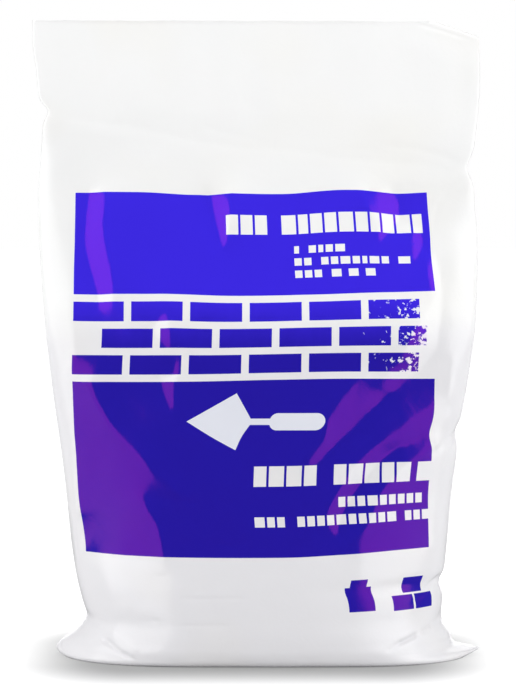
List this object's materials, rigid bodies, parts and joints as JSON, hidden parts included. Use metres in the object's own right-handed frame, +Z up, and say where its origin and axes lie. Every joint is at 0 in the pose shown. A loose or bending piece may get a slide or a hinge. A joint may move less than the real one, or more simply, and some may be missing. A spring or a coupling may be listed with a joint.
{
  "type": "cement bag",
  "caption": "Upright glossy white film sack of cement powder with a fat base, welded ear corners, a plain two-panel print and a flat empty flap at the top.",
  "frame": {"origin": "on the floor, under the middle of the bag", "axes": "+Z up along the bag to its mouth, -Y out of the printed front, +X to the right as the print is read"},
  "size_m": [0.2222, 0.0888, 0.314],
  "materials": {
    "film": "opaque white polyethylene film, glossy, printed in blue on the front",
    "powder": "matt grey cement powder"
  },
  "bodies": {
    "root": {"film_sack": "film", "cement_fill": "powder"}
  },
  "joints": []
}
